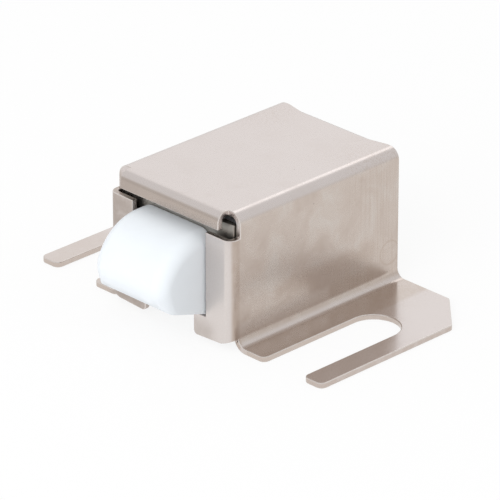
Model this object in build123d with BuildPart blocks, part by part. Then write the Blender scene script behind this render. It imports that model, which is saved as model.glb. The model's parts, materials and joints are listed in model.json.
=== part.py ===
from build123d import *
import os
from math import asin, atan2, cos, degrees, hypot, radians, sin

# Push-to-open catch for a cabinet door.
# A folded sheet-steel box is screwed down through two open-fronted slots.  A moulded
# nylon plunger stands out of its front on two springs.  Pushed in once it is held
# by a wire follower in a heart-shaped track, and pushed again it springs out.
#
# Frame, in millimetres: X to the right, Y from the front of the box to its back, Z up.
# The origin is on the mounting surface, midway across the front face of the box.

os.makedirs("parts", exist_ok=True)

# ---- Housing: one folded sheet ------------------------------------------------------
sheet = 0.9                 # plated steel, 20 gauge
box_width = 25.4            # across the outsides of the side walls
box_depth = 34.9            # front faces of the wings to the outside of the back flap
box_height = 21.7           # mounting surface to the outside of the top
top_bend = 1.85             # outside radius between the top and a side wall
lip_bend = 1.6              # outside radius between the top and the front lip
flap_bend = 1.1             # outside radius between the top and the back flap
wing_bend = 1.4             # outside radius between a side wall and its wing
flange_bend = 1.4           # radius in the corner between a side wall and its flange

lip_height = 2.65           # top of the box to the lower edge of the front lip
lip_width = 20.5            # front lip, across
notch_back = 2.1            # front edges of the side walls above the wings
flap_width = 14.0           # back flap, across
flap_foot = 1.0             # gap under the back flap
ear_slope = 0.75            # back edge of the top at the flap's roots, in from the back
ear_start = 10.2            # from the middle to where that slope begins
flange_front = 1.6          # front edges of the flanges

mouth_width = 15.2          # between the inner edges of the wings
wing_top_drop = 3.75        # top of the box to the upper edge of a wing
wing_corner = 0.9           # rounding of the wing's upper corner
wing_low_outer = 1.9        # lower edge of the wing at the side wall
wing_low_middle = 1.15      # lower edge where it turns down from the side wall
wing_low_run = 2.0          # from the side wall to that turn
wing_low_inner = 0.85       # lower edge of the foot at its inner end
foot_gap = 10.2             # between the inner ends of the two feet
foot_top = 4.4              # upper edge of a foot
foot_corner = 0.7           # rounding of the foot's corners
foot_root = 0.4             # radius where the foot joins the wing

# ---- Mounting flanges ---------------------------------------------------------------
slot_width = 7.9            # for a screw with a washer
slot_spacing = 44.0         # between the centre lines of the two slots
prong_width = 3.75          # flange outside each slot
slot_end = 20.3             # centre of the slot's round end, behind the front face
prong_corner = 1.0          # rounding at the front ends of the prongs
chamfer_back = 6.2          # back corner cut, along the side
chamfer_side = 6.4          # back corner cut, along the back
chamfer_round = 0.8         # rounding of the cut's two corners

# ---- Nylon plunger ------------------------------------------------------------------
plunger_travel = 8.0        # from standing out to the end of the push
mouth_clearance = 0.25      # nose to each wing, and to the foot below it
nose_lip_gap = 1.515        # top of the nose to the edge of the lip above it
nose_radius = 8.735         # crown over the top and front of the nose
nose_axis_setback = 0.26    # centre of the crown, in front of the front face
crown_end_angle = 158.4     # where the crown gives way to the lower corner
end_round = 2.3             # rounding of the nose's two ends
front_radius = 4.12         # front of the nose under the crown
front_end_angle = 196.0     # where the lower corner starts to cut into that rounding
chin_relief = 0.03          # lower corner's radius, over the front's
chin_lead = 4.0             # angle at which its cut starts outside the nose
heel_setback = 0.3          # foot of the sloping underside, behind the front face
shoulder = 0.6              # nose to neck, all round

body_width = 19.0           # block behind the stop plate
body_bottom = 4.2
body_top_gap = 1.9          # block to the inside of the housing's top
body_back = 24.0            # back face of the block with the nose out
body_round = 0.8            # edges along the block
wall_clearance = 0.3        # guide ribs to the housing
rib_width = 2.0             # guide ribs
side_rib_drop = 5.4         # top of the block to the centre of the side ribs
top_rib_offset = 6.4        # centre line of each top rib from the middle
core_width = 3.6            # moulding core between the spring bores
core_floor = 5.0            # nylon under the core
core_roof = 1.7             # nylon over the core

# ---- Stop plate ---------------------------------------------------------------------
stop_sheet = 0.9
stop_gap = 0.8              # wings to stop plate with the nose out
stop_side_gap = 0.15        # plate to each side wall
stop_corner = 0.3           # rounding of its corners
stop_top_gap = 1.0          # upper edge of the plate to the inside of the housing's top
stop_foot = 3.0             # lower ends of its two legs
neck_fit = 0.05             # plate to the plunger's neck

# ---- Springs and their rods ---------------------------------------------------------
spring_offset = 5.6         # axis of each spring from the middle
spring_drop = 5.7           # top of the plunger's block to the axis
spring_wire = 0.5
spring_mean = 4.6           # mean diameter of the coils
spring_turns = 9
bore_diameter = 6.2         # spring bores in the plunger
bore_bottom = 7.0           # seat of each spring with the nose out
spring_seat_gap = 0.1       # at each end of a spring
rod_diameter = 2.6
rod_tip = 16.0              # front end of each rod
rod_chamfer = 0.5
spigot_diameter = 1.8       # end of the rod in the rear bracket
spigot_fit = 0.02           # around the spigot

# ---- Rear bracket: one folded sheet -------------------------------------------------
bracket_sheet = 0.9
bracket_bend = 1.4          # outside radius of its folds
bracket_top_gap = 0.9       # back wall to the inside of the housing's top
bracket_width = 20.4        # back wall above its ears
ear_bottom = 3.0
ear_top = 10.0
ear_length = 4.8            # from the back of the bracket forward
floor_height = 0.9          # underside of the floor above the mounting surface
floor_width = 16.0
floor_front = 19.0          # front edge of the floor
floor_corner = 1.5

# ---- Track and follower -------------------------------------------------------------
wire_diameter = 1.0         # follower wire
wire_bend = 1.2             # radius of its two bends, along the wire's centre
pivot_back = 29.0           # follower's pivot, behind the front face
arm_length = 14.0           # pivot to the pin that runs in the track
arm_height = 3.15           # centre of the arm
pin_top = 5.9               # upper end of the pin
pivot_foot = 0.6            # lower end of the pivot
pivot_fit = 0.05            # around the pivot in the floor
swing = 3.8                 # sideways travel of the pin to a lobe of the heart
latch_travel = 6.0          # travel at which the notch of the heart holds the pin
track_clearance = 0.3       # pin to each wall of the track
track_depth = 2.2

# ---- Leaf spring under the follower -------------------------------------------------
leaf_sheet = 0.3
leaf_width = 3.6
leaf_root = -7.3            # end of the leaf at its rivet
leaf_tip = 3.8              # free end
leaf_back = 22.0            # centre line of the leaf, behind the front face
leaf_lift = 0.25            # rise of the free end
leaf_bend_start = -3.9
rivet_offset = -5.6         # rivet's centre line
rivet_diameter = 1.6
rivet_head = 2.8
rivet_head_height = 0.6
rivet_fit = 0.02

# ---- Sizes that follow --------------------------------------------------------------
half_width = box_width / 2
inner_half = half_width - sheet
slot_line = slot_spacing / 2
flange_edge = slot_line + slot_width / 2 + prong_width
inner_top = box_height - sheet
wing_top = box_height - wing_top_drop
flap_inside = box_depth - sheet
flap_half = flap_width / 2
nose_width = mouth_width - 2 * mouth_clearance
nose_bottom = foot_top + mouth_clearance
nose_top = box_height - lip_height - nose_lip_gap
nose_axis_height = nose_top - nose_radius
neck_width = nose_width - 2 * shoulder
neck_bottom = nose_bottom + shoulder
neck_top = nose_top - shoulder
neck_round = end_round - shoulder
body_top = inner_top - body_top_gap
side_rib_height = body_top - side_rib_drop
core_bottom = body_bottom + core_floor
core_top = body_top - core_roof
spring_height = body_top - spring_drop
stop_front = sheet + stop_gap
stop_back = stop_front + stop_sheet
stop_top = inner_top - stop_top_gap
bracket_front = flap_inside - bracket_sheet
bracket_top = inner_top - bracket_top_gap
floor_top = floor_height + bracket_sheet
pin_start = pivot_back - arm_length
track_width = wire_diameter + 2 * track_clearance
swing_angle = asin(swing / arm_length)
push_depth = plunger_travel - arm_length * (1 - cos(swing_angle))


# ---- Housing ------------------------------------------------------------------------
# A wing is an L in plan: a strip of the side wall, the bend, and the panel across the
# front, whose outline is then cut from it.
with BuildPart() as wing:
    with BuildSketch(Plane.XY):
        with BuildLine():
            outside = FilletPolyline(
                (half_width, flange_front),
                (half_width, 0),
                (foot_gap / 2, 0),
                radius=wing_bend,
            )
            inside = FilletPolyline(
                (inner_half, flange_front),
                (inner_half, sheet),
                (foot_gap / 2, sheet),
                radius=wing_bend - sheet,
            )
            Line(outside @ 0, inside @ 0)
            Line(outside @ 1, inside @ 1)
        make_face()
    extrude(amount=wing_top)
    with BuildSketch(Plane.XZ.offset(-flange_front)):
        with BuildLine():
            Polyline(
                (foot_gap / 2, wing_low_inner),
                (half_width - wing_low_run, wing_low_middle),
                (half_width, wing_low_outer),
                (half_width, wing_top),
                (mouth_width / 2, wing_top),
                (mouth_width / 2, foot_top),
                (foot_gap / 2, foot_top),
                close=True,
            )
        outline = make_face()
        corners = outline.vertices().sort_by(Axis.X)
        fillet(corners[0:2], foot_corner)
        mouth_corners = outline.vertices().filter_by_position(
            Axis.X, mouth_width / 2 - 0.01, mouth_width / 2 + 0.01
        )
        fillet(mouth_corners.sort_by(Axis.Y)[-1], wing_corner)
        fillet(mouth_corners.sort_by(Axis.Y)[0], foot_root)
    extrude(amount=flange_front, mode=Mode.INTERSECT)


# The top, the side walls and the flanges are one hat section.
with BuildPart() as housing:
    with BuildSketch(Plane.XZ):
        with BuildLine():
            outside = FilletPolyline(
                (-flange_edge, sheet),
                (-half_width, sheet),
                (-half_width, box_height),
                (half_width, box_height),
                (half_width, sheet),
                (flange_edge, sheet),
                radius=[flange_bend, top_bend, top_bend, flange_bend],
            )
            inside = FilletPolyline(
                (-flange_edge, 0),
                (-inner_half, 0),
                (-inner_half, inner_top),
                (inner_half, inner_top),
                (inner_half, 0),
                (flange_edge, 0),
                radius=[
                    flange_bend + sheet,
                    top_bend - sheet,
                    top_bend - sheet,
                    flange_bend + sheet,
                ],
            )
            Line(outside @ 0, inside @ 0)
            Line(outside @ 1, inside @ 1)
        make_face()
    extrude(amount=-box_depth)

    # Seen from the side, the section starts behind the wings, and a little further back
    # above them.
    with BuildSketch(Plane.YZ.offset(-flange_edge)):
        with BuildLine():
            Polyline(
                (notch_back, box_height),
                (box_depth, box_height),
                (box_depth, 0),
                (flange_front, 0),
                (flange_front, wing_top),
                (notch_back, wing_top),
                close=True,
            )
        make_face()
    extrude(amount=2 * flange_edge, mode=Mode.INTERSECT)
    add(wing.part)
    add(wing.part.mirror(Plane.YZ))

    # Front lip: the bend and the drop.
    with BuildSketch(Plane.YZ.offset(-lip_width / 2)):
        with BuildLine():
            lip_back = lip_bend + sheet
            outside = FilletPolyline(
                (lip_back, box_height),
                (0, box_height),
                (0, box_height - lip_height),
                radius=lip_bend,
            )
            inside = FilletPolyline(
                (lip_back, inner_top),
                (sheet, inner_top),
                (sheet, box_height - lip_height),
                radius=lip_bend - sheet,
            )
            Line(outside @ 0, inside @ 0)
            Line(outside @ 1, inside @ 1)
        make_face()
    extrude(amount=lip_width)

    # Open-fronted screw slots, each with a round end.
    with BuildSketch(Plane.XY):
        for side in (-1, 1):
            with Locations((side * slot_line, slot_end)):
                Circle(slot_width / 2)
            with Locations((side * slot_line, slot_end / 2)):
                Rectangle(slot_width, slot_end)
    extrude(amount=sheet, mode=Mode.SUBTRACT)

    # Cut corners at the back of the flanges.
    with BuildSketch(Plane.XY):
        for side in (-1, 1):
            with BuildLine():
                Polyline(
                    (side * flange_edge, box_depth - chamfer_back),
                    (side * flange_edge, box_depth),
                    (side * (flange_edge - chamfer_side), box_depth),
                    close=True,
                )
            make_face()
    extrude(amount=sheet, mode=Mode.SUBTRACT)

    # Back edge of the top: it slopes in from each side to the roots of the back flap,
    # and stops where the flap's bend starts.
    with BuildSketch(Plane.XY.offset(inner_top)):
        with BuildLine():
            Polyline(
                (-ear_start, box_depth),
                (-flap_half, box_depth - ear_slope),
                (-flap_half, box_depth - flap_bend),
                (flap_half, box_depth - flap_bend),
                (flap_half, box_depth - ear_slope),
                (ear_start, box_depth),
                close=True,
            )
        make_face()
    extrude(amount=sheet, mode=Mode.SUBTRACT)

    # Back flap: the bend and the drop.
    with BuildSketch(Plane.YZ.offset(-flap_half)):
        with BuildLine():
            fold_start = box_depth - flap_bend - sheet
            outside = FilletPolyline(
                (fold_start, box_height),
                (box_depth, box_height),
                (box_depth, flap_foot),
                radius=flap_bend,
            )
            inside = FilletPolyline(
                (fold_start, inner_top),
                (flap_inside, inner_top),
                (flap_inside, flap_foot),
                radius=flap_bend - sheet,
            )
            Line(outside @ 0, inside @ 0)
            Line(outside @ 1, inside @ 1)
        make_face()
    extrude(amount=flap_width)

    # Rounded front ends of the prongs and corners of the cuts.
    upright = housing.edges().filter_by(Axis.Z).filter_by_position(
        Axis.Z, sheet / 2 - 0.01, sheet / 2 + 0.01
    )
    prong_ends = upright.filter_by_position(
        Axis.Y, flange_front - 0.01, flange_front + 0.01
    )
    fillet(prong_ends, prong_corner)
    upright = housing.edges().filter_by(Axis.Z).filter_by_position(
        Axis.Z, sheet / 2 - 0.01, sheet / 2 + 0.01
    )
    cut_corners = upright.filter_by_position(
        Axis.Y, box_depth - chamfer_back - 0.01, box_depth + 0.01
    )
    fillet(cut_corners, chamfer_round)
housing.part.label = "housing"
export_step(housing.part, "parts/housing.step")


# ---- Plunger ------------------------------------------------------------------------
# The nose's outline, seen from the side, is the crown, the front tangent to it, the lower
# corner, a sloping underside that ends just above the feet, and a short straight root.
crown = Vector(-nose_axis_setback, nose_axis_height)
to_corner = nose_radius - front_radius
corner = crown + Vector(
    to_corner * cos(radians(crown_end_angle)),
    to_corner * sin(radians(crown_end_angle)),
)
heel = Vector(heel_setback, nose_bottom)
heel_distance = hypot(corner.X - heel.X, corner.Y - heel.Y)
heel_bearing = atan2(corner.Y - heel.Y, corner.X - heel.X)
chin_radius = front_radius + chin_relief
underside = heel_bearing + asin(chin_radius / heel_distance)
underside_angle = degrees(underside) + 90

with BuildPart() as nose:
    # The crown and the front, carried straight on down, with rounded ends.
    with BuildSketch(Plane.YZ.offset(-nose_width / 2)):
        with BuildLine():
            top_line = Line((stop_front, nose_top), (crown.X, nose_top))
            CenterArc(crown, nose_radius, 90, crown_end_angle - 90)
            front_arc = CenterArc(
                corner, front_radius, crown_end_angle, front_end_angle - crown_end_angle
            )
            carried = Line(front_arc @ 1, front_arc @ 1 + (front_arc % 1) * nose_radius)
            Polyline(carried @ 1, (stop_front, (carried @ 1).Y), top_line @ 0)
        make_face()
    extrude(amount=nose_width)
    back_edges = nose.faces().sort_by(Axis.Y)[-1].edges()
    foot_edges = nose.faces().sort_by(Axis.Z)[0].edges()
    ends = nose.faces().filter_by(Axis.X).edges()
    fillet(
        [edge for edge in ends if edge not in back_edges and edge not in foot_edges],
        end_round,
    )

    # The lower corner and the underside are cut from it, and their ends stay crisp.
    with BuildSketch(Plane.YZ.offset(-nose_width / 2)):
        with BuildLine():
            chin_start = front_end_angle - chin_lead
            chin = CenterArc(corner, chin_radius, chin_start, underside_angle - chin_start)
            Polyline(
                chin @ 1,
                heel,
                (stop_back, nose_bottom),
                (stop_back, -nose_radius),
                (-2 * nose_radius, -nose_radius),
                (-2 * nose_radius, (chin @ 0).Y),
                chin @ 0,
            )
        make_face()
    extrude(amount=nose_width, mode=Mode.SUBTRACT)

with BuildPart() as plunger:
    # Neck, as deep as the stop plate is thick.
    add(nose.part)
    with BuildSketch(Plane.XZ.offset(-stop_front)):
        with Locations((0, (neck_bottom + neck_top) / 2)):
            RectangleRounded(neck_width, neck_top - neck_bottom, neck_round)
    extrude(amount=-stop_sheet)

    # Block behind the stop plate, with its long edges rounded.
    with BuildSketch(Plane.XZ.offset(-stop_back)):
        with Locations((0, (body_bottom + body_top) / 2)):
            RectangleRounded(body_width, body_top - body_bottom, body_round)
    extrude(amount=-(body_back - stop_back))

    # Guide ribs along the sides and the top.
    with BuildSketch(Plane.XZ.offset(-stop_back)):
        side_reach = inner_half - wall_clearance
        with Locations((0, side_rib_height)):
            Rectangle(2 * side_reach, rib_width)
        top_reach = inner_top - wall_clearance
        with Locations(
            (-top_rib_offset, (top_reach + body_top) / 2 - body_round / 2),
            (top_rib_offset, (top_reach + body_top) / 2 - body_round / 2),
        ):
            Rectangle(rib_width, top_reach - body_top + body_round)
    extrude(amount=-(body_back - stop_back))

    # Spring bores and the core between them, open at the back.
    with BuildSketch(Plane.XZ.offset(-body_back)):
        with Locations((-spring_offset, spring_height), (spring_offset, spring_height)):
            Circle(bore_diameter / 2)
        with Locations((0, (core_bottom + core_top) / 2)):
            RectangleRounded(core_width, core_top - core_bottom, body_round)
    extrude(amount=body_back - bore_bottom, mode=Mode.SUBTRACT)

    # Heart-shaped track in the underside, as wide as the pin and its clearance, round
    # an island whose notch holds the pin.
    with BuildSketch(Plane.XY.offset(body_bottom)):
        with BuildLine():
            Polyline(
                (0, pin_start),
                (swing, pin_start - push_depth),
                (0, pin_start - latch_travel),
                (-swing, pin_start - push_depth),
                close=True,
            )
        heart = make_face()
        offset(heart, amount=track_width / 2)
        offset(heart, amount=-track_width / 2, mode=Mode.SUBTRACT)
    extrude(amount=track_depth, mode=Mode.SUBTRACT)
plunger.part.label = "plunger"
export_step(plunger.part, "parts/plunger.step")


# ---- Stop plate ---------------------------------------------------------------------
# A fork slid down over the neck, between the nose and the block.
with BuildPart() as stop_plate:
    with BuildSketch(Plane.XZ.offset(-stop_front)):
        stop_width = 2 * (inner_half - stop_side_gap)
        with Locations((0, (stop_foot + stop_top) / 2)):
            RectangleRounded(stop_width, stop_top - stop_foot, stop_corner)
        fork_width = neck_width + 2 * neck_fit
        fork_height = neck_top + neck_fit - stop_foot
        with Locations((0, stop_foot)):
            RectangleRounded(
                fork_width, 2 * fork_height, neck_round + neck_fit, mode=Mode.SUBTRACT
            )
    extrude(amount=-stop_sheet)
stop_plate.part.label = "stop_plate"
export_step(stop_plate.part, "parts/stop_plate.step")


# ---- Rear bracket -------------------------------------------------------------------
with BuildPart() as rear_bracket:
    # Floor and back wall, folded along the bottom.
    with BuildSketch(Plane.YZ.offset(-floor_width / 2)):
        with BuildLine():
            outside = FilletPolyline(
                (floor_front, floor_height),
                (flap_inside, floor_height),
                (flap_inside, bracket_top),
                radius=bracket_bend,
            )
            inside = FilletPolyline(
                (floor_front, floor_top),
                (bracket_front, floor_top),
                (bracket_front, bracket_top),
                radius=bracket_bend - bracket_sheet,
            )
            Line(outside @ 0, inside @ 0)
            Line(outside @ 1, inside @ 1)
        make_face()
    extrude(amount=floor_width)

    # Full width of the back wall, above the fold.
    with BuildSketch(Plane.XZ.offset(-flap_inside)):
        with Locations((0, (ear_bottom + bracket_top) / 2)):
            Rectangle(bracket_width, bracket_top - ear_bottom)
    extrude(amount=bracket_sheet)

    # Ears folded forward and welded to the side walls.
    with BuildSketch(Plane.XY.offset(ear_bottom)):
        with BuildLine():
            ear_front = flap_inside - ear_length
            outside = FilletPolyline(
                (-inner_half, ear_front),
                (-inner_half, flap_inside),
                (inner_half, flap_inside),
                (inner_half, ear_front),
                radius=bracket_bend,
            )
            inside = FilletPolyline(
                (-inner_half + bracket_sheet, ear_front),
                (-inner_half + bracket_sheet, bracket_front),
                (inner_half - bracket_sheet, bracket_front),
                (inner_half - bracket_sheet, ear_front),
                radius=bracket_bend - bracket_sheet,
            )
            Line(outside @ 0, inside @ 0)
            Line(outside @ 1, inside @ 1)
        make_face()
    extrude(amount=ear_top - ear_bottom)

    floor_ends = rear_bracket.edges().filter_by(Axis.Z).group_by(Axis.Y)[0]
    fillet(floor_ends, floor_corner)

    # Holes for the follower's pivot and the leaf's rivet.
    with Locations((0, pivot_back, floor_top)):
        Hole(wire_diameter / 2 + pivot_fit, depth=bracket_sheet)
    with Locations((rivet_offset, leaf_back, floor_top)):
        Hole(rivet_diameter / 2 + rivet_fit, depth=bracket_sheet)

    # Holes for the spigots of the two spring rods.
    with BuildSketch(Plane.XZ.offset(-flap_inside)):
        with Locations((-spring_offset, spring_height), (spring_offset, spring_height)):
            Circle(spigot_diameter / 2 + spigot_fit)
    extrude(amount=bracket_sheet, mode=Mode.SUBTRACT)
rear_bracket.part.label = "rear_bracket"
export_step(rear_bracket.part, "parts/rear_bracket.step")


# ---- Springs and their rods ---------------------------------------------------------
for name, side in (("left", -1), ("right", 1)):
    axis_line = Axis((side * spring_offset, 0, spring_height), (0, 1, 0))
    with BuildPart() as spring_rod:
        with BuildSketch(Plane.XY.offset(spring_height)):
            with BuildLine():
                Polyline(
                    (side * spring_offset, rod_tip),
                    (side * spring_offset + rod_diameter / 2 - rod_chamfer, rod_tip),
                    (side * spring_offset + rod_diameter / 2, rod_tip + rod_chamfer),
                    (side * spring_offset + rod_diameter / 2, bracket_front),
                    (side * spring_offset + spigot_diameter / 2, bracket_front),
                    (side * spring_offset + spigot_diameter / 2, flap_inside),
                    (side * spring_offset, flap_inside),
                    close=True,
                )
            make_face()
        revolve(axis=axis_line)
    spring_rod.part.label = f"{name}_spring_rod"
    export_step(spring_rod.part, f"parts/{name}_spring_rod.step")

    # The coils run past both ends, and the ends are then ground flat.
    spring_front = bore_bottom + spring_seat_gap
    spring_back = bracket_front - spring_seat_gap
    pitch = (spring_back - spring_front) / spring_turns
    with BuildPart() as spring:
        with BuildLine() as coil:
            Helix(
                pitch,
                pitch * (spring_turns + 1),
                spring_mean / 2,
                center=(side * spring_offset, spring_front - pitch / 2, spring_height),
                direction=(0, 1, 0),
            )
        with BuildSketch(Plane(origin=coil.line @ 0, z_dir=coil.line % 0)):
            Circle(spring_wire / 2)
        sweep(path=coil.line, is_frenet=True)
        with BuildSketch(Plane.XZ.offset(-spring_front)):
            with Locations((side * spring_offset, spring_height)):
                Circle(bore_diameter / 2)
        extrude(amount=spring_front - spring_back, mode=Mode.INTERSECT)
    spring.part.label = f"{name}_spring"
    export_step(spring.part, f"parts/{name}_spring.step")


# ---- Follower -----------------------------------------------------------------------
# One bent wire: the pivot down through the floor, the arm, and the pin up into the track.
with BuildPart() as follower:
    with BuildLine() as wire:
        FilletPolyline(
            (0, pivot_back, pivot_foot),
            (0, pivot_back, arm_height),
            (0, pin_start, arm_height),
            (0, pin_start, pin_top),
            radius=wire_bend,
        )
    with BuildSketch(Plane.XY.offset(pivot_foot)):
        with Locations((0, pivot_back)):
            Circle(wire_diameter / 2)
    sweep(path=wire.line)
follower.part.label = "follower"
export_step(follower.part, "parts/follower.step")


# ---- Leaf spring and its rivet ------------------------------------------------------
with BuildPart() as leaf_spring:
    with BuildSketch(Plane.XZ.offset(-(leaf_back + leaf_width / 2))):
        with BuildLine():
            Polyline(
                (leaf_root, floor_top),
                (leaf_bend_start, floor_top),
                (leaf_tip, floor_top + leaf_lift),
                (leaf_tip, floor_top + leaf_lift + leaf_sheet),
                (leaf_bend_start, floor_top + leaf_sheet),
                (leaf_root, floor_top + leaf_sheet),
                close=True,
            )
        make_face()
    extrude(amount=leaf_width)
    with Locations((rivet_offset, leaf_back, floor_top + leaf_sheet)):
        Hole(rivet_diameter / 2 + rivet_fit, depth=leaf_sheet)
    fillet(leaf_spring.edges().filter_by(Axis.Z), leaf_width / 4)
leaf_spring.part.label = "leaf_spring"
export_step(leaf_spring.part, "parts/leaf_spring.step")

with BuildPart() as leaf_rivet:
    with BuildSketch(Plane.XY.offset(floor_height)):
        with Locations((rivet_offset, leaf_back)):
            Circle(rivet_diameter / 2)
    extrude(amount=bracket_sheet + leaf_sheet)
    with BuildSketch(Plane.XY.offset(floor_top + leaf_sheet)):
        with Locations((rivet_offset, leaf_back)):
            Circle(rivet_head / 2)
    extrude(amount=rivet_head_height)
    fillet(leaf_rivet.edges().group_by(Axis.Z)[-1], rivet_head_height * 0.8)
leaf_rivet.part.label = "leaf_rivet"
export_step(leaf_rivet.part, "parts/leaf_rivet.step")
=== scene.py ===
"""Push-to-open catch: finishes, springs and studio, built round the frame's solids."""
import json
import logging
import math
from dataclasses import dataclass, field
from enum import Enum

import bmesh
import bpy
from mathutils import Matrix, Vector

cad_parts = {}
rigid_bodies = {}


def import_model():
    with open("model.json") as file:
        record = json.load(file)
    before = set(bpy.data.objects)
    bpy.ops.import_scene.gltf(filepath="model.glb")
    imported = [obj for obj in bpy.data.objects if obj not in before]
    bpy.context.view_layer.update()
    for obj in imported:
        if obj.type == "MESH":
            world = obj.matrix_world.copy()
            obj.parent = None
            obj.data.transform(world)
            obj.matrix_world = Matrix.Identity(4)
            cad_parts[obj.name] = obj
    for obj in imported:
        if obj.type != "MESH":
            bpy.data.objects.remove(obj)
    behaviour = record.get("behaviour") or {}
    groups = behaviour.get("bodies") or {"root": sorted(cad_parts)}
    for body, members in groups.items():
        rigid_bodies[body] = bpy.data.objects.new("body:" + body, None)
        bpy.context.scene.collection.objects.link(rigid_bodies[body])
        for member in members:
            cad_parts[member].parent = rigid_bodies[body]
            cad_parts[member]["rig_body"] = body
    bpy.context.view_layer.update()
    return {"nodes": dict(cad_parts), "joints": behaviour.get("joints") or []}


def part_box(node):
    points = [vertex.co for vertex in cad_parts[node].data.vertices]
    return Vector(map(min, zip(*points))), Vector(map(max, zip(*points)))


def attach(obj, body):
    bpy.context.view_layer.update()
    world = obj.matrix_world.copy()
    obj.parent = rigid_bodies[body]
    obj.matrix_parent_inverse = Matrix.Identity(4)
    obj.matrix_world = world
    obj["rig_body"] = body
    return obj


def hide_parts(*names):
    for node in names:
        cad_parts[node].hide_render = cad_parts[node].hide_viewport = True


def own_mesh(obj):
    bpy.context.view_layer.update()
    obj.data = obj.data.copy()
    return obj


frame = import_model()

MM = 0.001
Colour = tuple[float, float, float]
Triple = tuple[float, float, float]
Output = bpy.types.NodeSocket
Number = Output | float  # what an input for numbers takes
Paint = Output | Colour  # what an input for colours takes
Ring = list[bmesh.types.BMVert | bmesh.types.BMEdge]  # one round of a spring's wire
log = logging.getLogger("catch")


class Slot(Enum):
    """The record's material slots."""

    NICKEL = "nickel_plate"
    ZINC = "plated_steel"
    SPRING = "spring_steel"
    NYLON = "nylon"


class NickelTone(Enum):
    """Colours that the nickel plate has from place to place; some are laid as painted
    shade and painted light.
    """

    PLATE = (0.690, 0.632, 0.612)
    FILM_AND_SHADE = (0.585, 0.505, 0.450)
    PALE = (0.640, 0.600, 0.560)
    STAIN_AND_SHADE = (0.500, 0.410, 0.350)
    DARK_BROWN = (0.450, 0.385, 0.345)
    PAINTED_LIGHT = (0.780, 0.725, 0.695)
    PIT = (0.240, 0.200, 0.175)


# ---- Patterns -----------------------------------------------------------------------
@dataclass(frozen=True)
class Cloud:
    """A cloudy pattern from 0 to 1.

    Attributes:
        size: Size of its patches, in millimetres.
        detail: How many finer layers it has.
        rough: How strong the finer layers are.
        warp: How far its patches are pulled about.
    """

    size: float
    detail: float = 3.0
    rough: float = 0.5
    warp: float = 0.0


@dataclass(frozen=True)
class Span:
    """One range of values, turned into another smoothly and within its limits.

    Attributes:
        start: Value that becomes low.
        end: Value that becomes high.
        low: Result at start.
        high: Result at end.
    """

    start: float
    end: float
    low: float = 0.0
    high: float = 1.0


@dataclass(frozen=True)
class Dots:
    """Scattered round dots that show only in some places.

    Attributes:
        spacing: Mean distance between dots, in millimetres.
        radius: Largest radius of a dot, in millimetres.
        places: The cloudy pattern that picks the places.
        showing: Where in that pattern they show.
    """

    spacing: float
    radius: float
    places: Cloud
    showing: Span


@dataclass(frozen=True)
class Zone:
    """A box on the part, with a border in which it fades, in millimetres.

    Attributes:
        low: Its least X, Y and Z.
        high: Its greatest X, Y and Z.
        soft: Width of the border, inwards from its faces.
        both_sides: Whether X is the distance from the middle, so that the zone is on
            both sides of it.
    """

    low: Triple
    high: Triple
    soft: float
    both_sides: bool = True


@dataclass(frozen=True)
class Patch:
    """A zone in another tone. Some patches are painted shade and painted light; others
    are only darker.

    Attributes:
        name: What it is on the part.
        zone: Where it is.
        tone: Its colour.
        share: How much of that colour shows.
    """

    name: str
    zone: Zone
    tone: NickelTone
    share: float


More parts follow.
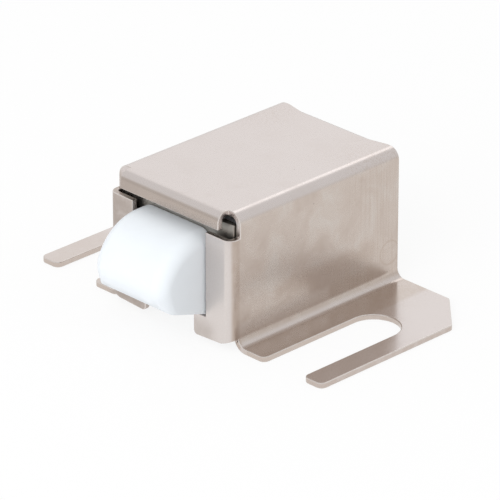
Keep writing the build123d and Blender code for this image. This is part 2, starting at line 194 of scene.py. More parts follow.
# ---- Node trees ---------------------------------------------------------------------
class Surface:
    """One material's node tree, with short calls for the nodes that the finishes share.

    Patterns are laid out in millimetres, on the object's own coordinates.
    """

    # A mix node has inputs and a result for each kind of value. These are the colours'.
    MIX_UNDER, MIX_OVER, MIX_RESULT = 6, 7, 2

    def __init__(self, name: str) -> None:
        """Starts a material with one principled shader.

        Args:
            name: The material's name.
        """
        self.material = bpy.data.materials.new(name)
        self.material.use_nodes = True
        self.tree = self.material.node_tree
        self.shader = self.tree.nodes["Principled BSDF"]
        self.origin = self.add("ShaderNodeTexCoord").outputs["Object"]
        self.place = self.stretched((1.0, 1.0, 1.0))

    def add(self, kind: str, **settings: object) -> bpy.types.Node:
        """Adds a node.

        Args:
            kind: The node's type name.
            settings: Properties to set on it.

        Returns:
            The new node.
        """
        node = self.tree.nodes.new(kind)
        for name, value in settings.items():
            setattr(node, name, value)
        return node

    def feed(self, socket: Output, value: object) -> None:
        """Links a socket to an output, or sets its value.

        Args:
            socket: The input socket.
            value: An output socket, a number, or a tuple of numbers.
        """
        if isinstance(value, Output):
            self.tree.links.new(value, socket)
        else:
            socket.default_value = value

    def set(self, **values: object) -> None:
        """Sets the principled shader's inputs.

        Args:
            values: Input names, with underscores for spaces, and what they get.
        """
        for name, value in values.items():
            if name == "Base_Color" and isinstance(value, tuple):
                value = (*value, 1.0)
            self.feed(self.shader.inputs[name.replace("_", " ")], value)

    def stretched(self, per_mm: Triple) -> Output:
        """Coordinates in millimetres, stretched along the axes.

        Args:
            per_mm: Pattern units in a millimetre along X, Y and Z.

        Returns:
            The coordinates' output.
        """
        mapping = self.add("ShaderNodeMapping")
        self.feed(mapping.inputs["Vector"], self.origin)
        mapping.inputs["Scale"].default_value = [value / MM for value in per_mm]
        return mapping.outputs["Vector"]

    def axes(self) -> list[Output]:
        """Takes the coordinates apart.

        Returns:
            Outputs of X, Y and Z, in millimetres.
        """
        parts = self.add("ShaderNodeSeparateXYZ")
        self.feed(parts.inputs[0], self.place)
        return list(parts.outputs)

    def noise(self, cloud: Cloud, at: Output | None = None) -> Output:
        """Lays a cloudy pattern on the surface.

        Args:
            cloud: The pattern.
            at: Other coordinates to lay it on.

        Returns:
            The pattern's output.
        """
        node = self.add("ShaderNodeTexNoise")
        self.feed(node.inputs["Vector"], at or self.place)
        node.inputs["Scale"].default_value = 1.0 / cloud.size
        node.inputs["Detail"].default_value = cloud.detail
        node.inputs["Roughness"].default_value = cloud.rough
        node.inputs["Distortion"].default_value = cloud.warp
        return node.outputs["Fac"]

    def cells(self, spacing: float) -> bpy.types.Node:
        """Divides the surface into cells about scattered points.

        Args:
            spacing: Mean distance between the points, in millimetres.

        Returns:
            The cells' node.
        """
        node = self.add("ShaderNodeTexVoronoi")
        self.feed(node.inputs["Vector"], self.place)
        node.inputs["Scale"].default_value = 1.0 / spacing
        return node

    def scattered(self, dots: Dots) -> Output:
        """Scatters dots on the surface: 1 in a dot's middle, 0 outside it.

        Args:
            dots: The dots.

        Returns:
            The pattern's output.
        """
        away = self.cells(dots.spacing).outputs["Distance"]
        everywhere = self.ramp(away, Span(dots.radius / dots.spacing, 0.0))
        return self.times(everywhere, self.ramp(self.noise(dots.places), dots.showing))

    def ramp(self, value: Output, span: Span) -> Output:
        """Turns one range of values into another.

        Args:
            value: The output to turn.
            span: Both ranges.

        Returns:
            The result's output.
        """
        node = self.add("ShaderNodeMapRange", interpolation_type="SMOOTHSTEP")
        for name, number in (
            ("Value", value),
            ("From Min", span.start),
            ("From Max", span.end),
            ("To Min", span.low),
            ("To Max", span.high),
        ):
            self.feed(node.inputs[name], number)
        return node.outputs["Result"]

    def inside(self, zone: Zone) -> Output:
        """1 in a zone and 0 outside it.

        Args:
            zone: The zone.

        Returns:
            The share's output.
        """
        across, along, up = self.axes()
        if zone.both_sides:
            across = self.compute("ABSOLUTE", across)
        share = None
        for value, low, high in zip((across, along, up), zone.low, zone.high):
            for limit, border in ((low, zone.soft), (high, -zone.soft)):
                edge = self.ramp(value, Span(limit, limit + border))
                share = edge if share is None else self.times(share, edge)
        return share

    def compute(self, operation: str, first: Number, second: Number = 0.0) -> Output:
        """One step of arithmetic.

        Args:
            operation: Name of the math operation.
            first: An output or a number.
            second: An output or a number, where the operation takes two.

        Returns:
            The result's output.
        """
        node = self.add("ShaderNodeMath", operation=operation)
        self.feed(node.inputs[0], first)
        self.feed(node.inputs[1], second)
        return node.outputs[0]

    def times(self, first: Number, second: Number) -> Output:
        """Two outputs or numbers multiplied."""
        return self.compute("MULTIPLY", first, second)

    def plus(self, first: Number, second: Number) -> Output:
        """Two outputs or numbers added."""
        return self.compute("ADD", first, second)

    def sunk(self, height: Output) -> Output:
        """A height pattern turned over, so that it goes into the surface."""
        return self.times(height, -1.0)

    def blend(self, share: Number, under: Paint, over: Paint) -> Output:
        """Lays one colour over another.

        Args:
            share: How much of the upper colour shows.
            under: Lower colour, or an output.
            over: Upper colour, or an output.

        Returns:
            The mixed colour's output.
        """
        node = self.add("ShaderNodeMix", data_type="RGBA")
        self.feed(node.inputs[0], share)
        for place, value in ((self.MIX_UNDER, under), (self.MIX_OVER, over)):
            value = (*value, 1.0) if isinstance(value, tuple) else value
            self.feed(node.inputs[place], value)
        return node.outputs[self.MIX_RESULT]

    def relief(self, *layers: tuple[Output, float]) -> None:
        """Gives the surface a fine relief.

        Args:
            layers: Height patterns, each with its depth in millimetres.
        """
        below = None
        for height, depth in layers:
            node = self.add("ShaderNodeBump")
            node.inputs["Distance"].default_value = depth * MM
            self.feed(node.inputs["Height"], height)
            if below is not None:
                self.feed(node.inputs["Normal"], below)
            below = node.outputs["Normal"]
        self.feed(self.shader.inputs["Normal"], below)


# ---- Finishes -----------------------------------------------------------------------
@dataclass(frozen=True)
class WeldMark:
    """Round print of a spot welder's tip on both side walls, in millimetres."""

    back: float = 33.0
    height: float = 5.4
    radius: float = 1.9
    line: float = 0.28
    wall: float = 12.0
    wall_border: float = 0.3
    depth: float = 0.015
    share: float = 0.65

    def pattern(self, skin: Surface) -> tuple[Output, Output]:
        """Lays the print on a surface.

        Args:
            skin: The surface.

        Returns:
            Outputs of the print's ring and of the metal round its shallow dish, each
            from 0 to 1.
        """
        across, along, up = skin.axes()
        sideways = skin.compute("ABSOLUTE", across)
        on_wall = skin.ramp(sideways, Span(self.wall, self.wall + self.wall_border))
        behind = skin.compute("SUBTRACT", along, self.back)
        above = skin.compute("SUBTRACT", up, self.height)
        squares = [skin.compute("POWER", part, 2.0) for part in (behind, above)]
        away = skin.compute("SQRT", skin.plus(*squares))
        off_ring = skin.compute("ABSOLUTE", skin.compute("SUBTRACT", away, self.radius))
        ring = skin.ramp(off_ring, Span(self.line, 0.0))
        dish = skin.ramp(away, Span(self.radius - self.line, self.radius + self.line))
        return skin.times(ring, on_wall), skin.times(dish, on_wall)


@dataclass(frozen=True)
class NickelPlate:
    """Satin nickel on rolled sheet.

    The walls and the lip are darker and browner than the top: partly a tea-coloured
    film with stains, partly painted shade. Patches of other tones add painted shade and
    painted light, and darker tones on the left. A name that ends in _in says where in
    its pattern a tone shows, and one that ends in _share how much of it shows.
    Depths are in millimetres.
    """

    stains: Cloud = Cloud(6.0, 6.0, 0.62, 0.6)
    smears: Cloud = Cloud(1.8, 4.0, 0.6, 0.4)
    pale_in: Span = Span(0.30, 0.52, 0.55, 0.0)
    stained_in: Span = Span(0.48, 0.76, 0.0, 0.85)
    stain_breaks: Span = Span(0.25, 0.70, 0.45, 1.0)
    faint_in: Span = Span(0.45, 0.75, 0.0, 0.10)

    walls: Zone = Zone((12.1, -1.0, 1.0), (14.0, 36.0, 20.9), 0.7)
    lip: Zone = Zone((-1.0, -1.0, 18.0), (13.0, 0.45, 21.2), 0.4)
    lip_painted_shade: float = 0.8
    wings: Zone = Zone((5.0, -3.0, -2.0), (13.0, 2.0, 18.2), 1.5)
    wing_painted_light: float = 0.8
    wing_haze: float = 0.14
    flanges: Zone = Zone((14.0, -1.0, -1.0), (40.0, 40.0, 1.2), 0.4)
    flange_haze: float = -0.11

    patch_breaks: Span = Span(0.2, 0.6, 0.5, 1.0)
    patches: tuple[Patch, ...] = (
        # Painted shade: a dark streak down the bends between the wings and the walls.
        Patch(
            "bends of the wings",
            Zone((11.9, 0.4, -0.8), (13.5, 2.2, 19.0), 0.5),
            NickelTone.STAIN_AND_SHADE,
            0.90,
        ),
        # Painted shade: the cut edges of the flanges are made darker.
        Patch(
            "cut edges of the flanges",
            Zone((14.5, -1.0, 0.02), (40.0, 40.0, 0.84), 0.05),
            NickelTone.STAIN_AND_SHADE,
            0.70,
        ),
        Patch(
            "feet",
            Zone((-3.0, -4.0, -4.0), (10.6, 4.5, 5.0), 3.0),
            NickelTone.DARK_BROWN,
            0.50,
        ),
        # Painted reflection: the flanges beside the walls are made darker and browner,
        # as if mirroring the walls.
        Patch(
            "flanges beside the walls",
            Zone((13.0, -2.0, -1.5), (19.5, 42.0, 2.6), 1.2),
            NickelTone.FILM_AND_SHADE,
            0.80,
        ),
        Patch(
            "smudge along the walls",
            Zone((10.0, 8.0, 4.6), (16.0, 31.0, 9.4), 2.2),
            NickelTone.STAIN_AND_SHADE,
            0.55,
        ),
        # Painted light: the lower part of each wall, above the flange, is made lighter.
        Patch(
            "painted light at the foot of the walls",
            Zone((11.3, 1.0, 1.6), (14.2, 21.0, 4.9), 1.3),
            NickelTone.PAINTED_LIGHT,
            0.45,
        ),
        Patch(
            "left wing",
            Zone((-15.0, -3.0, 0.5), (-5.5, 3.4, 21.0), 1.6, both_sides=False),
            NickelTone.DARK_BROWN,
            0.90,
        ),
        Patch(
            "left foot",
            Zone((-15.0, -3.0, -1.5), (-3.5, 3.4, 5.6), 1.2, both_sides=False),
            NickelTone.DARK_BROWN,
            0.85,
        ),
        Patch(
            "left prong",
            Zone((-36.0, -8.0, -3.0), (-14.0, 16.0, 4.0), 4.0, both_sides=False),
            NickelTone.FILM_AND_SHADE,
            0.55,
        ),
    )

    drag: Cloud = Cloud(1.0, 3.0, 0.6)
    drag_per_mm: Triple = (3.4, 3.4, 0.10)
    drag_in: Span = Span(0.40, 0.75, 0.0, 0.5)
    drag_depth: float = 0.0015
    wall_ends: Zone = Zone((2.0, 20.0, -6.0), (24.0, 50.0, 28.0), 9.0)
    speckle: Cloud = Cloud(0.22, 2.0, 0.5)
    speckle_in: Span = Span(0.35, 0.70, 0.0, 0.10)
    speckle_haze: Span = Span(0.0, 0.1, 0.0, 0.04)
    pits: Dots = Dots(2.6, 0.15, Cloud(5.0), Span(0.50, 0.62))
    pit_share: float = 0.75
    pit_depth: float = 0.010
    mark: WeldMark = WeldMark()
    haze: Span = Span(0.3, 0.8, 0.24, 0.31)
    waves: Cloud = Cloud(2.4, 2.0, 0.4)
    wave_depth: float = 0.004
    grain: Cloud = Cloud(0.30, 3.0, 0.6)
    grain_depth: float = 0.0004

    def material(self) -> bpy.types.Material:
        """Builds the finish.

        Returns:
            The material.
        """
        skin = Surface("nickel plate")
        stains, smears = skin.noise(self.stains), skin.noise(self.smears)
        on_wings, ends = skin.inside(self.wings), skin.inside(self.wall_ends)
        drag = skin.noise(self.drag, skin.stretched(self.drag_per_mm))
        speckle = skin.ramp(skin.noise(self.speckle), self.speckle_in)
        pits = skin.scattered(self.pits)
        ring, dish = self.mark.pattern(skin)

        colour = self.filmed_and_shaded(skin, stains, smears)
        # Painted light: the front faces of the wings are made lighter.
        wing_painted_light = skin.times(on_wings, self.wing_painted_light)
        colour = skin.blend(wing_painted_light, colour, NickelTone.PAINTED_LIGHT.value)
        colour = self.patched(skin, colour, smears)
        for share, tone in (
            (skin.times(skin.ramp(drag, self.drag_in), ends), NickelTone.STAIN_AND_SHADE),
            (speckle, NickelTone.FILM_AND_SHADE),
            (skin.times(pits, self.pit_share), NickelTone.PIT),
            (skin.times(ring, self.mark.share), NickelTone.STAIN_AND_SHADE),
        ):
            colour = skin.blend(share, colour, tone.value)
        skin.set(Base_Color=colour, Metallic=1.0)

        haze = skin.ramp(stains, self.haze)
        for share, change in (
            (skin.inside(self.flanges), self.flange_haze),
            (on_wings, self.wing_haze),
        ):
            haze = skin.plus(haze, skin.times(share, change))
        skin.set(Roughness=skin.plus(haze, skin.ramp(speckle, self.speckle_haze)))
        skin.relief(
            (skin.noise(self.waves), self.wave_depth),
            (skin.noise(self.grain), self.grain_depth),
            (skin.times(drag, ends), self.drag_depth),
            (skin.sunk(pits), self.pit_depth),
            (dish, self.mark.depth),
        )
        return skin.material

    def filmed_and_shaded(self, skin: Surface, stains: Output, smears: Output) -> Output:
        """The bare plate, darker and browner on the walls and the lip: a stained film,
        partly painted shade.

        Args:
            skin: The surface.
            stains: The pattern of the stains.
            smears: The finer pattern that breaks them up.

        Returns:
            The colour's output.
        """
        # The walls and the lip take the stained film, which is also painted shade: it
        # makes them darker than the top.
        on_walls, on_lip = skin.inside(self.walls), skin.inside(self.lip)
        pale = skin.ramp(stains, self.pale_in)
        film = skin.blend(pale, NickelTone.FILM_AND_SHADE.value, NickelTone.PALE.value)
        stained = skin.times(
            skin.ramp(stains, self.stained_in), skin.ramp(smears, self.stain_breaks)
        )
        film = skin.blend(stained, film, NickelTone.STAIN_AND_SHADE.value)
        filmed_and_shaded = skin.compute("MAXIMUM", on_walls, on_lip)
        filmed_and_shaded = skin.compute("MAXIMUM", filmed_and_shaded, skin.ramp(stains, self.faint_in))
        colour = skin.blend(filmed_and_shaded, NickelTone.PLATE.value, film)
        # Painted shade: the lip is made darker still.
        lip_painted_shade = skin.times(on_lip, self.lip_painted_shade)
        return skin.blend(lip_painted_shade, colour, NickelTone.DARK_BROWN.value)

    def patched(self, skin: Surface, colour: Output, smears: Output) -> Output:
        """Lays the patches of other tones over the plate.

        Args:
            skin: The surface.
            colour: The plate's colour.
            smears: The pattern that breaks the patches up.

        Returns:
            The colour's output.
        """
        broken = skin.ramp(smears, self.patch_breaks)
        for patch in self.patches:
            there = skin.times(skin.inside(patch.zone), patch.share)
            colour = skin.blend(skin.times(there, broken), colour, patch.tone.value)
            colour.node.label = patch.name
        return colour


@dataclass(frozen=True)
class NickelEdge:
    """Nickel on the eased edges: lighter than the plate, a painted highlight, with worn
    patches.
    """

    # Lighter than the plate: painted highlight along the edges.
    plate: Colour = (0.740, 0.685, 0.655)
    rubbed: Colour = (0.600, 0.520, 0.460)
    wear: Cloud = Cloud(0.8, 3.0, 0.6)
    worn_in: Span = Span(0.35, 0.70)
    wear_share: float = 0.4
    haze: Span = Span(0.0, 1.0, 0.26, 0.36)

    def material(self) -> bpy.types.Material:
        """Builds the finish.

        Returns:
            The material.
        """
        skin = Surface("nickel edge")
        worn = skin.ramp(skin.noise(self.wear), self.worn_in)
        share = skin.times(worn, self.wear_share)
        skin.set(Base_Color=skin.blend(share, self.plate, self.rubbed), Metallic=1.0)
        skin.set(Roughness=skin.ramp(worn, self.haze))
        return skin.material


@dataclass(frozen=True)
class ZincPlate:
    """Dull zinc on the inner pieces, with its faint crystal pattern, in millimetres."""

    # Darker than bare zinc: partly its dull tone, partly painted shade for the stop
    # plate deep in the box.
    plate: Colour = (0.440, 0.420, 0.385)
    bloom: Colour = (0.330, 0.310, 0.280)
    crystal: float = 0.9
    crystal_share: float = 0.22
    cloud: Cloud = Cloud(4.0, 4.0, 0.6, 0.3)
    clouded_in: Span = Span(0.40, 0.75, 0.0, 0.5)
    cloud_depth: float = 0.004
    grain: Cloud = Cloud(0.3, 3.0, 0.6)
    grain_depth: float = 0.002
    haze: Span = Span(0.0, 1.0, 0.34, 0.46)

    def material(self) -> bpy.types.Material:
        """Builds the finish.

        Returns:
            The material.
        """
        skin = Surface("zinc plate")
        tone = skin.add("ShaderNodeSeparateColor")
        skin.feed(tone.inputs[0], skin.cells(self.crystal).outputs["Color"])
        cloud = skin.noise(self.cloud)
        share = skin.plus(
            skin.times(tone.outputs[0], self.crystal_share),
            skin.ramp(cloud, self.clouded_in),
        )
        skin.set(Base_Color=skin.blend(share, self.plate, self.bloom), Metallic=1.0)
        skin.set(Roughness=skin.ramp(tone.outputs[1], self.haze))
        grain = skin.noise(self.grain)
        skin.relief((grain, self.grain_depth), (cloud, self.cloud_depth))
        return skin.material


@dataclass(frozen=True)
class SpringSteel:
    """Bright drawn steel, with drawing lines and a trace of oil, in millimetres."""

    steel: Colour = (0.430, 0.415, 0.400)
    oil: Colour = (0.250, 0.225, 0.200)
    film: Cloud = Cloud(1.4, 4.0, 0.6, 0.5)
    oiled_in: Span = Span(0.45, 0.75, 0.0, 0.7)
    haze: Span = Span(0.3, 0.8, 0.36, 0.22)
    lines: Cloud = Cloud(0.12, 2.0, 0.5)
    line_depth: float = 0.0012

    def material(self) -> bpy.types.Material:
        """Builds the finish.

        Returns:
            The material.
        """
        skin = Surface("spring steel")
        film = skin.noise(self.film)
        share = skin.ramp(film, self.oiled_in)
        skin.set(Base_Color=skin.blend(share, self.steel, self.oil), Metallic=1.0)
        skin.set(Roughness=skin.ramp(film, self.haze))
        skin.relief((skin.noise(self.lines), self.line_depth))
        return skin.material


@dataclass(frozen=True)
class Nylon:
    """Natural white nylon, smooth off the mould and a little translucent.

    Depths are in millimetres.
    """

    body: Colour = (0.862, 0.904, 0.952)
    scuff: Colour = (0.720, 0.740, 0.765)
    index: float = 1.53
    translucence: float = 0.25
    translucent_depth: float = 0.9
    flow: Cloud = Cloud(5.0, 3.0, 0.5, 0.8)
    flow_in: Span = Span(0.45, 0.80, 0.0, 0.16)
    flow_depth: float = 0.01
    haze: Span = Span(0.3, 0.8, 0.34, 0.44)
    specks: Dots = Dots(3.4, 0.20, Cloud(6.0), Span(0.52, 0.60))
    speck_share: float = 0.5
    speck_depth: float = 0.02
    grain: Cloud = Cloud(0.25, 3.0, 0.6)
    grain_depth: float = 0.0008

    def material(self) -> bpy.types.Material:
        """Builds the finish.

        Returns:
            The material.
        """
        skin = Surface("nylon")
        flow, specks = skin.noise(self.flow), skin.scattered(self.specks)
        share = skin.plus(
            skin.ramp(flow, self.flow_in), skin.times(specks, self.speck_share)
        )
        skin.set(Base_Color=skin.blend(share, self.body, self.scuff), IOR=self.index)
        skin.set(
            Subsurface_Weight=self.translucence,
            Subsurface_Scale=self.translucent_depth * MM,
            Subsurface_Radius=(1.0, 1.0, 1.0),
        )
        skin.set(Roughness=skin.ramp(flow, self.haze))
        skin.relief(
            (flow, self.flow_depth),
            (skin.noise(self.grain), self.grain_depth),
            (skin.sunk(specks), self.speck_depth),
        )
        return skin.material


@dataclass
class Finishes:
    """The catch's materials, by slot."""

    by_slot: dict[Slot, bpy.types.Material] = field(default_factory=dict)
    edge: bpy.types.Material | None = None

    def build(self) -> "Finishes":
        """Builds every finish once.

        Returns:
            This set, with its materials.
        """
        self.by_slot = {
            Slot.NICKEL: NickelPlate().material(),
            Slot.ZINC: ZincPlate().material(),
            Slot.SPRING: SpringSteel().material(),
            Slot.NYLON: Nylon().material(),
        }
        self.edge = NickelEdge().material()
        return self

    def dress(self, piece: bpy.types.Object, slot: Slot, edged: bool = False) -> None:
        """Puts a finish on a piece.

        Args:
            piece: The piece to dress.
            slot: The slot whose finish it takes.
            edged: Whether its eased edges get the lighter edge finish, a painted
                highlight.
        """
        piece.data.materials.clear()
        piece.data.materials.append(self.by_slot[slot])
        if edged:
            piece.data.materials.append(self.edge)


# ---- Pieces -------------------------------------------------------------------------
@dataclass
class EasedSolid:
    """A copy of a solid whose corners are joined and whose cut edges are rounded off.

    Attributes:
        node: The solid's name.
        slot: The finish that it takes.
        rounding: Width of the rounded edge, in millimetres.
        steps: Faces across it.
        joined_within: Corners nearer to each other than this are one, in millimetres.
        flat_within: Faces are one where they turn less than this, in degrees.
        sharp_over: An edge is sharp where its faces turn more than this, in degrees.
        acute_under: Sharp edges that meet at less than this stay crisp, in degrees.
        room: Least width of a face beside a rounded edge, in widths of the rounding.
        flatness: How far shading follows the larger of two faces that meet.
        edged: Whether its eased edges get the lighter edge finish, a painted highlight.
    """

    node: str
    slot: Slot
    rounding: float
    steps: int = 2
    joined_within: float = 0.004
    flat_within: float = 0.5
    sharp_over: float = 35.0
    acute_under: float = 50.0
    room: float = 1.2
    flatness: int = 60
    edged: bool = False

    def build(self, finishes: Finishes) -> bpy.types.Object:
        """Makes the piece in place of its solid.

        Args:
            finishes: The catch's materials.

        Returns:
            The finished piece.
        """
        solid = frame["nodes"][self.node]
        shape = bmesh.new()
        shape.from_mesh(solid.data)
        bmesh.ops.remove_doubles(shape, verts=shape.verts, dist=self.joined_within * MM)
        bmesh.ops.dissolve_limit(
            shape,
            angle_limit=math.radians(self.flat_within),
            verts=shape.verts,
            edges=shape.edges,
        )
        bmesh.ops.recalc_face_normals(shape, faces=shape.faces)
        for face in shape.faces:
            face.smooth = True
        self.mark_edges(shape)
        piece = placed(f"{self.node}_eased", shape)
        finishes.dress(piece, self.slot, self.edged)
        self.ease(piece)
        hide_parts(self.node)
        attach(piece, solid["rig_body"])
        log.info("%s: %d faces", piece.name, len(piece.data.polygons))
        return piece

    def mark_edges(self, shape: bmesh.types.BMesh) -> None:
        """Marks the sharp edges that can be rounded, and leaves the others crisp.

        Args:
            shape: The copy of the solid.
        """
        weight = shape.edges.layers.float.new("bevel_weight_edge")
        for edge in shape.edges:
            edge.tag = edge.calc_face_angle(0.0) > math.radians(self.sharp_over)
        for edge in shape.edges:
            if edge.tag and self.has_room(edge):
                edge[weight] = 1.0
            elif edge.tag:
                edge.smooth = False

    def has_room(self, edge: bmesh.types.BMEdge) -> bool:
        """Whether the rounding fits on both faces of an edge and past both its ends.

        Args:
            edge: A sharp edge.

        Returns:
            True where it fits.
        """
        length = edge.calc_length()
        narrowest = min(face.calc_area() / length for face in edge.link_faces)
        if narrowest < self.room * self.rounding * MM:
            return False
        for corner in edge.verts:
            away = edge.other_vert(corner).co - corner.co
            for other in corner.link_edges:
                if other is edge or not other.tag:
                    continue
                turn = away.angle(other.other_vert(corner).co - corner.co)
                if turn < math.radians(self.acute_under):
                    return False
        return True

    def ease(self, piece: bpy.types.Object) -> None:
        """Rounds the marked edges and evens the shading of the flat faces beside them.

        Args:
            piece: The piece.
        """
        easing = piece.modifiers.new("eased edges", "BEVEL")
        easing.limit_method = "WEIGHT"
        easing.width = self.rounding * MM
        easing.segments = self.steps
        easing.profile = 0.5
        easing.use_clamp_overlap = False
        easing.material = 1 if self.edged else -1
        even = piece.modifiers.new("flat faces shaded flat", "WEIGHTED_NORMAL")
        even.mode = "FACE_AREA"
        even.weight = self.flatness
        even.keep_sharp = True


@dataclass
class CompressionSpring:
    """A coil spring with closed ends ground flat, wound about an axis along Y.

    Attributes:
        node: Name of the solid that it takes the place of.
        wire: Diameter of the wire, in millimetres.
        mean: Mean diameter of the coils, in millimetres.
        open_turns: Turns between the closed ones.
        closed_turns: Turns at each end that lie against each other.
        ring_sides: Faces round the wire.
        steps_per_turn: Faces along a turn.
        joined_within: Corners nearer to each other than this are one, in millimetres.
        sorting: Direction in which no two corners are level.
        centre: A point on the axis, found when it is built.
    """

    node: str
    wire: float = 0.5
    mean: float = 4.6
    open_turns: float = 7.5
    closed_turns: float = 1.0
    ring_sides: int = 12
    steps_per_turn: int = 32
    joined_within: float = 0.001
    sorting: Triple = (0.0713, 1.0, 0.0471)
    centre: Vector = field(default_factory=Vector, init=False)

    def build(self, finishes: Finishes, travel: float) -> bpy.types.Object:
        """Makes the spring in place of its solid.

        Args:
            finishes: The catch's materials.
            travel: How far its front end is pushed, in metres. Not used.

        Returns:
            The finished piece.
        """
        low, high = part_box(self.node)
        self.centre = Vector(((low.x + high.x) / 2, 0.0, (low.z + high.z) / 2))
        front, back = low.y, high.y
        piece = placed(f"{self.node}_coil", self.coil(front, back))
        finishes.dress(piece, Slot.SPRING)
        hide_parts(self.node)
        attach(piece, "box")
        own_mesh(piece)
        log.info("%s: %d faces", piece.name, len(piece.data.polygons))
        return piece

    def coil(self, front: float, back: float) -> bmesh.types.BMesh:
        """Winds the wire from one end to the other and grinds both ends.

        Args:
            front: Y of the front end.
            back: Y of the back end.

        Returns:
            The spring's mesh.
        """
        shape = bmesh.new()
        ring = bmesh.ops.create_circle(
            shape, segments=self.ring_sides, radius=self.wire / 2 * MM
        )["verts"]
        bmesh.ops.rotate(shape, verts=ring, matrix=Matrix.Rotation(math.pi / 2, 3, "Y"))
        start = Vector((0.0, front, self.mean / 2 * MM)) + self.centre
        bmesh.ops.translate(shape, verts=ring, vec=start)
        closed_rise = self.closed_turns * self.wire * MM
        last = [*ring, *shape.edges]
        for turns, rise in (
            (self.closed_turns, closed_rise),
            (self.open_turns, back - front - 2 * closed_rise),
            (self.closed_turns, closed_rise),
        ):
            last = self.wind(shape, last, turns, rise)
        for level, outward in ((front, -1.0), (back, 1.0)):
            self.grind(shape, level, outward)
        bmesh.ops.remove_doubles(shape, verts=shape.verts, dist=self.joined_within * MM)
        bmesh.ops.recalc_face_normals(shape, faces=shape.faces)
        for face in shape.faces:
            face.smooth = len(face.verts) <= 4
        self.put_in_order(shape)
        return shape

    def put_in_order(self, shape: bmesh.types.BMesh) -> None:
        """Sorts the mesh along the spring, because the operators leave a chance order.

        Args:
            shape: The finished spring.
        """
        along = Vector(self.sorting)
        shape.verts.sort(key=lambda vert: vert.co.dot(along))
        for parts in (shape.edges, shape.faces):
            parts.sort(key=lambda part: sum(vert.co.dot(along) for vert in part.verts))

    def wind(
        self, shape: bmesh.types.BMesh, last: Ring, turns: float, rise: float
    ) -> Ring:
        """Winds on from the wire's last ring.

        Args:
            shape: The spring so far.
            last: Vertices and edges of its last ring.
            turns: How many turns to wind.
            rise: How far the wire moves along the axis meanwhile.

        Returns:
            Vertices and edges of the new last ring.
        """
        steps = round(turns * self.steps_per_turn)
        return bmesh.ops.spin(
            shape,
            geom=last,
            cent=self.centre,
            axis=(0.0, 1.0, 0.0),
            dvec=(0.0, rise / steps, 0.0),
            angle=math.tau * turns,
            steps=steps,
        )["geom_last"]

    def grind(self, shape: bmesh.types.BMesh, level: float, outward: float) -> None:
        """Grinds one end flat.

        Args:
            shape: The spring.
            level: Where the ground face is.
            outward: 1 or -1, the way it faces along Y.
        """
        bmesh.ops.bisect_plane(
            shape,
            geom=[*shape.verts, *shape.edges, *shape.faces],
            plane_co=(0.0, level, 0.0),
            plane_no=(0.0, outward, 0.0),
            clear_outer=True,
        )
        rim = [edge for edge in shape.edges if len(edge.link_faces) == 1]
        bmesh.ops.holes_fill(shape, edges=rim)


def placed(name: str, shape: bmesh.types.BMesh) -> bpy.types.Object:
    """Puts a finished mesh in the scene, at the origin.

    Args:
        name: The piece's name.
        shape: Its mesh, which is freed.

    Returns:
        The new object.
    """
    mesh = bpy.data.meshes.new(name)
    shape.to_mesh(mesh)
    shape.free()
    return linked(name, mesh)


def linked(name: str, data: bpy.types.ID) -> bpy.types.Object:
    """Puts an object in the scene.

    Args:
        name: Its name.
        data: Its mesh, light or lens.

    Returns:
        The new object.
    """
    item = bpy.data.objects.new(name, data)
    bpy.context.scene.collection.objects.link(item)
    return item


@dataclass
class Catch:
    """The whole catch: eased sheet and nylon, wound springs and plain inner pieces."""

    eased: tuple[EasedSolid, ...] = (
        EasedSolid("housing", Slot.NICKEL, 0.13, edged=True),
        EasedSolid("stop_plate", Slot.ZINC, 0.08),
        EasedSolid("rear_bracket", Slot.ZINC, 0.08),
        EasedSolid("plunger", Slot.NYLON, 0.12),
    )
    springs: tuple[CompressionSpring, ...] = (
        CompressionSpring("left_spring"),
        CompressionSpring("right_spring"),
    )
    plain: tuple[tuple[str, Slot], ...] = (
        ("left_spring_rod", Slot.ZINC),
        ("right_spring_rod", Slot.ZINC),
        ("leaf_rivet", Slot.ZINC),
        ("follower", Slot.SPRING),
        ("leaf_spring", Slot.SPRING),
    )

    def build(self) -> None:
        """Builds and dresses every piece."""
        finishes = Finishes().build()
        slide = next(row for row in frame["joints"] if row["name"] == "plunger_travel")
        travel = slide["range_m"][1]
        for solid in self.eased:
            solid.build(finishes)
        for spring in self.springs:
            spring.build(finishes, travel)
        for name, slot in self.plain:
            finishes.dress(frame["nodes"][name], slot)
            log.info("%s: dressed in %s", name, slot.value)


# ---- Studio -------------------------------------------------------------------------
def direction(azimuth: float, elevation: float) -> Vector:
    """The way from the catch to a place around it.

    Args:
        azimuth: Angle round the catch from its front, towards +X, in degrees.
        elevation: Angle above the floor, in degrees.

    Returns:
        A vector of length 1.
    """
    turn, rise = math.radians(azimuth), math.radians(elevation)
    return Vector(
        (
            math.sin(turn) * math.cos(rise),
            -math.cos(turn) * math.cos(rise),
            math.sin(rise),
        )
    )


@dataclass
class Camera:
    """A long lens, so nearly without perspective.

    Angles are in degrees and lengths in millimetres. The aim is moved by across and up,
    as the camera sees them.
    """

    azimuth: float = 45.49
    elevation: float = 25.585
    target: Triple = (0.0, 17.78, 8.89)
    distance: float = 718.8
    across: float = -0.901
    up: float = -2.080
    sensor: float = 36.0
    focal: float = 350.35
    near: float = 10.0
    far: float = 20000.0

    def build(self) -> bpy.types.Object:
        """Places the scene's camera.

        Returns:
            The camera.
        """
        turn = math.radians(self.azimuth)
        out = direction(self.azimuth, self.elevation)
        right = Vector((math.cos(turn), math.sin(turn), 0.0))
        over = out.cross(right)
        lens = bpy.data.cameras.new("camera")
        lens.sensor_width = self.sensor
        lens.lens = self.focal
        lens.clip_start = self.near * MM
        lens.clip_end = self.far * MM
        camera = linked("camera", lens)
        centre = Vector(self.target) + right * self.across + over * self.up
        camera.location = (centre + out * self.distance) * MM
        camera.rotation_euler = out.to_track_quat("Z", "Y").to_euler()
        bpy.context.scene.camera = camera
        return camera


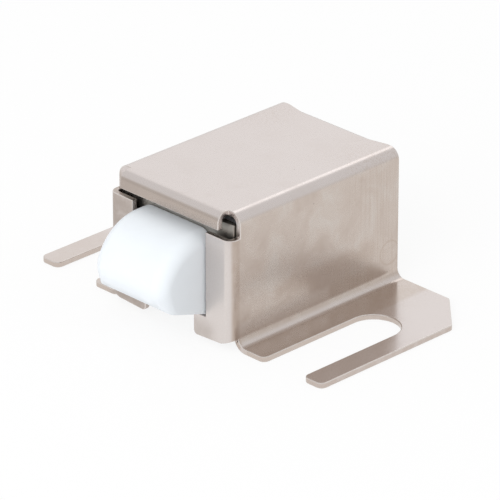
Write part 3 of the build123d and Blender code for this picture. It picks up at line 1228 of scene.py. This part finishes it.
@dataclass
class Softbox:
    """One soft square lamp that faces the catch.

    Attributes:
        name: The lamp's name.
        azimuth: Angle round the catch from its front, towards +X, in degrees.
        elevation: Angle above the floor, in degrees.
        distance: From the aim, in metres.
        size: Length of its sides, in metres.
        strength: Brightness of its face.
        mirrored: Whether the plate and the nylon reflect it.
        aim: The point that it faces, in metres.
    """

    name: str
    azimuth: float
    elevation: float
    distance: float
    size: float
    strength: float
    mirrored: bool = True
    aim: Triple = (0.0, 0.015, 0.008)

    def build(self) -> bpy.types.Object:
        """Hangs the lamp.

        Returns:
            The lamp.
        """
        out = direction(self.azimuth, self.elevation)
        light = bpy.data.lights.new(self.name, "AREA")
        light.shape = "SQUARE"
        light.size = self.size
        light.energy = self.strength * math.pi * self.size**2
        lamp = linked(self.name, light)
        lamp.visible_glossy = self.mirrored
        lamp.location = Vector(self.aim) + out * self.distance
        lamp.rotation_euler = out.to_track_quat("Z", "Y").to_euler()
        return lamp


@dataclass
class Studio:
    """A pale floor and soft light in a pale room.

    Attributes:
        floor_size: Length of the floor's sides, in metres.
        floor_colour: Its colour.
        floor_glow: Share of the floor that the camera and reflections see as white.
        even_light: Strength of the room's light on the catch.
        wall_colour: Colour of the walls that the camera and reflections see.
        white: Strength at which they and the glowing floor are seen.
        lamps: The lamps.
    """

    floor_size: float = 6.0
    floor_colour: Colour = (0.86, 0.86, 0.86)
    floor_glow: float = 0.83
    even_light: float = 0.68
    wall_colour: Colour = (0.8, 0.8, 0.8)
    white: float = 1.04
    lamps: tuple[Softbox, ...] = (
        Softbox("key", 14.0, 26.0, 0.80, 0.70, 2.25, mirrored=False),
        Softbox("back", -141.0, 33.0, 0.80, 0.66, 0.20),
        Softbox("band", -152.0, 42.0, 0.70, 0.22, 0.55),
    )

    def build(self) -> None:
        """Lays the floor, lights the room and hangs the lamps."""
        self.lay_floor()
        self.light_room()
        for lamp in self.lamps:
            lamp.build()
            log.info("%s: lamp hung", lamp.name)
        bpy.context.scene.view_settings.view_transform = "Standard"

    def lay_floor(self) -> None:
        """Lays a floor that is seen as white, apart from its shadows."""
        shape = bmesh.new()
        half = self.floor_size / 2
        bmesh.ops.create_grid(shape, x_segments=1, y_segments=1, size=half)
        floor = placed("floor", shape)
        skin = Surface("floor")
        skin.set(Base_Color=self.floor_colour, Roughness=1.0, Specular_IOR_Level=0.0)
        glow = skin.add("ShaderNodeEmission")
        glow.inputs["Strength"].default_value = self.white
        mix = skin.add("ShaderNodeMixShader")
        share = skin.times(seen_directly(skin.tree), self.floor_glow)
        skin.feed(mix.inputs[0], share)
        skin.feed(mix.inputs[1], skin.shader.outputs[0])
        skin.feed(mix.inputs[2], glow.outputs[0])
        skin.feed(skin.tree.nodes["Material Output"].inputs["Surface"], mix.outputs[0])
        floor.data.materials.append(skin.material)

    def light_room(self) -> None:
        """Gives the room its even light, and walls for the camera and reflections."""
        world = bpy.data.worlds.new("room")
        bpy.context.scene.world = world
        world.use_nodes = True
        tree = world.node_tree
        even = tree.nodes["Background"]
        walls = tree.nodes.new("ShaderNodeBackground")
        for node, colour, strength in (
            (even, (1.0, 1.0, 1.0), self.even_light),
            (walls, self.wall_colour, self.white),
        ):
            node.inputs["Color"].default_value = (*colour, 1.0)
            node.inputs["Strength"].default_value = strength
        mix = tree.nodes.new("ShaderNodeMixShader")
        tree.links.new(seen_directly(tree), mix.inputs[0])
        tree.links.new(even.outputs[0], mix.inputs[1])
        tree.links.new(walls.outputs[0], mix.inputs[2])
        tree.links.new(mix.outputs[0], tree.nodes["World Output"].inputs["Surface"])


def seen_directly(tree: bpy.types.NodeTree) -> Output:
    """1 for what the camera sees, straight or by reflection, and 0 for other light.

    Args:
        tree: The node tree to add to.

    Returns:
        The output.
    """
    path = tree.nodes.new("ShaderNodeLightPath")
    total = path.outputs["Is Camera Ray"]
    for name in ("Is Glossy Ray", "Is Transmission Ray"):
        adder = tree.nodes.new("ShaderNodeMath")
        adder.operation = "ADD"
        adder.use_clamp = True
        tree.links.new(total, adder.inputs[0])
        tree.links.new(path.outputs[name], adder.inputs[1])
        total = adder.outputs[0]
    return total


def main() -> None:
    """Builds the catch and its studio."""
    logging.basicConfig(level=logging.INFO, format="%(name)s: %(message)s")
    Catch().build()
    Studio().build()
    Camera().build()


if __name__ == "__main__":
    main()
